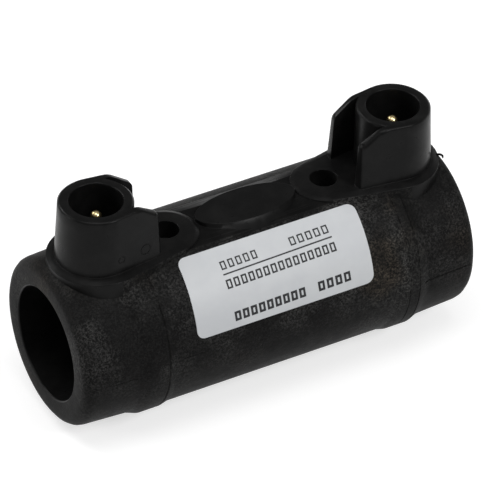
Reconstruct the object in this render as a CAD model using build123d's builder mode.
"""Electrofusion coupler for 20 mm polyethylene pipe.

The bore runs along X. Two pipe ends enter, one from each mouth, up to a stop
ring at mid-length. A single resistance wire is buried in the wall: a winding
round each fusion zone, an axial link between them, and a lead up to a brass
pin in each terminal. Each terminal stands on a teardrop flange and is a round
shroud with two wings that reach towards the middle of the coupler.

The origin is on the bore axis at mid-length, +Z points up through the
terminals, and every size is in millimetres.
"""

import os
from math import cos, pi, radians, sin, tan

from build123d import *

# --- pipe and bore -----------------------------------------------------------
pipe_diameter = 20.0
pipe_play = 0.15  # radial room for the pipe in its socket
bore_radius = pipe_diameter / 2 + pipe_play
stop_step = 1.25  # how far the stop ring stands in from the bore
stop_width = 2.0
mouth_lead_in = 0.3

# --- tube ----------------------------------------------------------------------
body_length = 76.6
mouth_wall = 4.9  # wall at the mouths, before the end is rounded
mouth_rounding = 2.1
rounding_flats = 4  # the rounding at each mouth is turned in short flats
end_section_wall = 5.3  # wall where the conical end section meets the band
band_wall = 6.0
band_inset = 12.1  # from the mouth to the band
band_width = 3.6
band_outer_ramp = 2.0
band_inner_ramp = 2.2
core_wall = 5.45
barrel_wall = 5.75  # wall of the middle section, which has its own raised axis
barrel_rise = 0.2  # the middle section is thicker on the terminal side

# --- saddle between the terminals -----------------------------------------------
land_drop = 0.45  # flat along the top of the middle section
land_length = 36.0
plate_length = 19.0  # bare oval nameplate
plate_width = 8.3
plate_height = 0.75  # above the land
plate_slope = 46.0  # its long sides, degrees from the vertical
plate_root = 1.2  # how far the plate reaches down into the barrel

# --- teardrop flange ---------------------------------------------------------------
terminal_inset = 9.55  # from the mouth to the shroud's axis
flange_step = 0.1  # above the band
flange_depth = 5.0
flange_radius = 8.7
flange_shift = 0.3  # from the shroud's axis, towards the middle of the coupler
flange_tip_radius = 5.8
flange_bevel = 1.1  # width of the bevel round the top
flange_bevel_drop = 0.45

# --- fusion indicator ----------------------------------------------------------------
indicator_spacing = 13.3  # from the shroud's axis
indicator_radius = 2.4
indicator_depth = 3.9
indicator_stud_radius = 1.3
indicator_stud_height = 1.2

# --- terminal shroud -----------------------------------------------------------------
shroud_height = 11.1  # above the flange
shroud_foot_radius = 7.05
shroud_draft = 2.8  # degrees
shroud_edge = 0.4  # bevel round the rim and the wings
shroud_sink = 1.0  # how far its foot reaches down into the flange
round_wall_inset = 0.1  # the shroud's wall where it shows between the wings
well_radius = 4.55
well_depth = 12.0
well_edge = 0.25
wing_reach = 9.5  # from the shroud's axis to the wing's foot
wing_spread = 5.8  # half the width over both wings at their feet
wing_thickness = 1.2
wing_crest = 5.1  # from the shroud's axis to where the wing's top turns down
wing_slope = 33.0  # degrees below the rim
wing_bend = 0.9  # length of the curve into the slope, on either side
wing_corner = 1.3

# --- terminal pin ----------------------------------------------------------------------
pin_radius = 1.0
pin_tip_radius = 0.45
pin_tip_length = 0.55
pin_tip_drop = 2.4  # from the shroud's rim down to the tip
collar_radius = 1.9
collar_thickness = 1.2
pin_root = 1.4  # below the collar

# --- heating wire --------------------------------------------------------------------------
wire_side = 0.5
wire_cover = 0.4  # plastic between the wire and the bore
winding_inset = 14.3  # from the mouth to the winding
winding_length = 15.0
winding_turns = 6.5  # the link runs below the bore and the pins stand above it
chords_per_turn = 16

# --- label -----------------------------------------------------------------------------------
label_length = 34.4
label_width = 13.9  # straight across the curve
label_angle = 50.2  # from the top, towards the front
label_corner = 1.6
label_thickness = 0.15

# --- worked out from the sizes above -----------------------------------------------------------
half_length = body_length / 2
band_end = half_length - band_inset
band_start = band_end - band_width
barrel_radius = bore_radius + barrel_wall
land_height = barrel_radius + barrel_rise - land_drop
terminal_offset = half_length - terminal_inset
indicator_offset = terminal_offset - indicator_spacing
flange_top = bore_radius + band_wall + flange_step
shroud_rim = flange_top + shroud_height
rim_radius = shroud_foot_radius - shroud_height * tan(radians(shroud_draft))
round_wall_radius = rim_radius - round_wall_inset
well_floor = shroud_rim - well_depth
indicator_floor = flange_top - indicator_depth
pin_tip = shroud_rim - pin_tip_drop
pin_foot = well_floor - collar_thickness - pin_root
wire_radius = bore_radius + wire_cover + wire_side / 2
winding_start = half_length - winding_inset - winding_length
plate_top = land_height + plate_height
wing_foot_x = terminal_offset - wing_reach
wing_rim_spread = wing_spread - shroud_height * tan(radians(shroud_draft))
crest_x = terminal_offset - wing_crest
sides = {"left": -1, "right": 1}


def is_outer_edge(edge):
    """True for the edges of the shroud and wings that a hand would touch."""
    middle = edge.center()
    is_seam = middle.Z < shroud_rim - 1 and middle.X > crest_x
    is_cross = edge.geom_type == GeomType.LINE and abs(middle.Y) < wing_thickness
    return middle.Z > flange_top and not is_seam and not is_cross


def wing_cut():
    """Space above the wings: their tops slope down and round off at the ends."""
    slope = radians(wing_slope)
    lean = tan(radians(shroud_draft))
    corner_height = shroud_height - (crest_x - wing_corner) * tan(slope) - wing_corner / cos(slope)
    corner_x = (wing_foot_x + corner_height * lean) / (1 - tan(slope) * lean)
    corner_z = flange_top + corner_height + corner_x * tan(slope)
    bend_start = (crest_x + wing_bend, shroud_rim)
    bend_end = (crest_x - wing_bend * cos(slope), shroud_rim - wing_bend * sin(slope))
    corner_start = (corner_x + wing_corner * (1 - sin(slope)), corner_z + wing_corner * cos(slope))
    corner_end = (corner_x, corner_z)
    with BuildSketch() as space:
        with BuildLine():
            TangentArc(bend_start, bend_end, tangent=(-1, 0))
            Line(bend_end, corner_start)
            TangentArc(corner_start, corner_end, tangent=(-cos(slope), -sin(slope)))
            Polyline(
                corner_end,
                (corner_x - wing_reach, corner_z),
                (corner_x - wing_reach, shroud_rim + wing_corner),
                (bend_start[0], shroud_rim + wing_corner),
                bend_start,
            )
        make_face()
    return space.sketch


def pin_outline():
    """Half section of a terminal pin, to be turned about the Z axis."""
    with BuildSketch(Plane.XZ) as half:
        with BuildLine():
            Polyline(
                (0, pin_foot),
                (pin_radius, pin_foot),
                (pin_radius, well_floor - collar_thickness),
                (collar_radius, well_floor - collar_thickness),
                (collar_radius, well_floor),
                (pin_radius, well_floor),
                (pin_radius, pin_tip - pin_tip_length),
                (pin_tip_radius, pin_tip),
                (0, pin_tip),
                close=True,
            )
        make_face()
    return half.sketch


def well_outline():
    """Half section of the well in a shroud, opening out at the rim."""
    with BuildSketch() as half:
        with BuildLine():
            Polyline(
                (0, well_floor),
                (well_radius, well_floor),
                (well_radius, shroud_rim - well_edge),
                (well_radius + well_edge, shroud_rim),
                (0, shroud_rim),
                close=True,
            )
        make_face()
    return half.sketch


def mouth_corners():
    """Corners of the flats that round the outer edge of the right mouth."""
    centre_x = half_length - mouth_rounding
    centre_r = bore_radius + mouth_wall - mouth_rounding
    corners = []
    for flat in range(rounding_flats + 1):
        angle = pi / 2 * (1 - flat / rounding_flats)
        corners.append((centre_x + mouth_rounding * cos(angle), centre_r + mouth_rounding * sin(angle)))
    return corners


def wire_route():
    """Corners of the wire's route, from the left pin to the right pin."""
    steps = round(winding_turns * chords_per_turn)
    right = []
    for step in range(steps + 1):
        angle = 2 * pi * step / chords_per_turn - pi / 2
        along = winding_start + winding_length * step / steps
        right.append((along, wire_radius * cos(angle), wire_radius * sin(angle)))
    right.append((terminal_offset, 0, wire_radius))
    right.append((terminal_offset, 0, pin_foot))
    left = [(-x, y, z) for x, y, z in reversed(right)]
    return left + right


# Terminal pins: turned brass, each with a collar that the moulding grips.
pins = []
for name, side in sides.items():
    with BuildPart() as terminal_pin:
        add(pin_outline())
        revolve(axis=Axis.Z)
    terminal_pin.part.locate(Location((side * terminal_offset, 0, 0)))
    terminal_pin.part.label = f"terminal_pin_{name}"
    pins.append(terminal_pin.part)

# Heating wire: one length from pin to pin, laid in short straight chords.
with BuildPart() as heating_wire:
    with BuildLine() as route:
        Polyline(*wire_route())
    with BuildSketch(Plane(origin=wire_route()[0], z_dir=(0, 0, -1))):
        Rectangle(wire_side, wire_side)
    sweep(path=route.line, transition=Transition.RIGHT)
heating_wire.part.label = "heating_wire"

# Right terminal: a teardrop flange, the drafted shroud with its two wings, the
# slot between them, and the round wall that closes the slot's inner end.
with BuildPart() as round_wall:
    with BuildSketch(Plane.XY.offset(flange_top - shroud_sink)):
        with Locations((terminal_offset, 0)):
            Circle(round_wall_radius)
    extrude(amount=shroud_height + shroud_sink)
    chamfer(round_wall.edges().sort_by(Axis.Z)[-1], shroud_edge)

with BuildPart() as shroud:
    with BuildSketch(Plane.XY.offset(flange_top)):
        with Locations((terminal_offset, 0)):
            Circle(shroud_foot_radius)
        with Locations((terminal_offset - wing_reach / 2, 0)):
            Rectangle(wing_reach, 2 * wing_spread)
        make_hull()
    extrude(amount=shroud_height, taper=shroud_draft)
    with BuildSketch(Plane.XZ):
        add(wing_cut())
    extrude(amount=flange_radius, both=True, mode=Mode.SUBTRACT)
    chamfer(shroud.edges().filter_by(is_outer_edge), shroud_edge)
    with BuildSketch(Plane.XY.offset(flange_top)):
        with BuildLine():
            slot_side = Polyline(
                (wing_foot_x - wing_reach, 0),
                (wing_foot_x - wing_reach, wing_rim_spread - wing_thickness),
                (wing_foot_x, wing_rim_spread - wing_thickness),
                (terminal_offset, rim_radius - wing_thickness),
                (terminal_offset, 0),
            )
            mirror(slot_side, about=Plane.XZ)
        make_face()
    extrude(amount=2 * shroud_height, mode=Mode.SUBTRACT)
    add(round_wall.part)

with BuildPart() as terminal:
    with BuildSketch(Plane.XY.offset(flange_top)):
        with Locations((terminal_offset - flange_shift, 0)):
            Circle(flange_radius)
        with Locations((indicator_offset, 0)):
            Circle(flange_tip_radius)
        make_hull()
    extrude(amount=-flange_depth)
    flange_face = terminal.faces().sort_by(Axis.Z)[-1]
    chamfer(flange_face.edges(), flange_bevel, flange_bevel_drop, reference=flange_face)
    add(shroud.part)

# Body: tube, saddle and terminals, moulded in one piece round wire and pins.
with BuildPart() as body:
    with BuildSketch(Plane.XZ):
        with BuildLine():
            outer_side = Polyline(
                (0, 0),
                (0, bore_radius + core_wall),
                (band_start - band_inner_ramp, bore_radius + core_wall),
                (band_start, bore_radius + band_wall),
                (band_end, bore_radius + band_wall),
                (band_end + band_outer_ramp, bore_radius + end_section_wall),
                *mouth_corners(),
                (half_length, 0),
                (0, 0),
            )
        make_face()
        mirror(about=Plane.YZ)
    revolve(axis=Axis.X)

    with BuildSketch(Plane.YZ.offset(-band_start)):
        with Locations((0, barrel_rise)):
            Circle(barrel_radius)
    extrude(amount=2 * band_start)
    with BuildSketch(Plane.XY.offset(land_height)):
        Rectangle(land_length, 2 * barrel_radius)
    extrude(amount=barrel_radius, mode=Mode.SUBTRACT)

    plate_flare = (plate_height + plate_root) * tan(radians(plate_slope))
    with BuildSketch(Plane.XY.offset(land_height - plate_root)):
        Ellipse(plate_length / 2, plate_width / 2 + plate_flare)
    with BuildSketch(Plane.XY.offset(plate_top)):
        Ellipse(plate_length / 2, plate_width / 2)
    loft(ruled=True)

    add(terminal.part)
    add(mirror(terminal.part, about=Plane.YZ))

    # Bore, with a small lead-in at each mouth and the stop ring left standing.
    with BuildSketch(Plane.XZ):
        with BuildLine():
            Polyline(
                (0, 0),
                (0, bore_radius - stop_step),
                (stop_width / 2, bore_radius - stop_step),
                (stop_width / 2, bore_radius),
                (half_length - mouth_lead_in, bore_radius),
                (half_length, bore_radius + mouth_lead_in),
                (half_length, 0),
                (0, 0),
            )
        make_face()
        mirror(about=Plane.YZ)
    revolve(axis=Axis.X, mode=Mode.SUBTRACT)

    # Wells of the shrouds, and fusion indicators: a blind hole round a short stud.
    for side in sides.values():
        with BuildSketch(Plane.XZ):
            with Locations((side * terminal_offset, 0)):
                add(well_outline())
        revolve(axis=Axis((side * terminal_offset, 0, 0), (0, 0, 1)), mode=Mode.SUBTRACT)
        with BuildSketch(Plane.XY.offset(flange_top)):
            with Locations((side * indicator_offset, 0)):
                Circle(indicator_radius)
        extrude(amount=-indicator_depth, mode=Mode.SUBTRACT)
        with BuildSketch(Plane.XY.offset(indicator_floor)):
            with Locations((side * indicator_offset, 0)):
                Circle(indicator_stud_radius)
        extrude(amount=indicator_stud_height)

    # Room for the wire and the pins, which the plastic grips on every side.
    add(heating_wire.part, mode=Mode.SUBTRACT)
    add(pins, mode=Mode.SUBTRACT)
body.part.label = "body"

# Label: a thin sheet that follows the front of the middle section.
with BuildPart() as label:
    with BuildSketch(Plane.YZ.offset(-label_length)):
        with Locations((0, barrel_rise)):
            Circle(barrel_radius + label_thickness)
            Circle(barrel_radius, mode=Mode.SUBTRACT)
    extrude(amount=2 * label_length)
    facing = (0, -sin(radians(label_angle)), cos(radians(label_angle)))
    with BuildSketch(Plane(origin=(0, 0, barrel_rise), x_dir=(1, 0, 0), z_dir=facing)):
        RectangleRounded(label_length, label_width, label_corner)
    extrude(amount=2 * barrel_radius, mode=Mode.INTERSECT)
label.part.label = "label"

os.makedirs("parts", exist_ok=True)
export_step(body.part, "parts/body.step")
export_step(heating_wire.part, "parts/heating_wire.step")
export_step(label.part, "parts/label.step")
for terminal_pin in pins:
    export_step(terminal_pin, f"parts/{terminal_pin.label}.step")
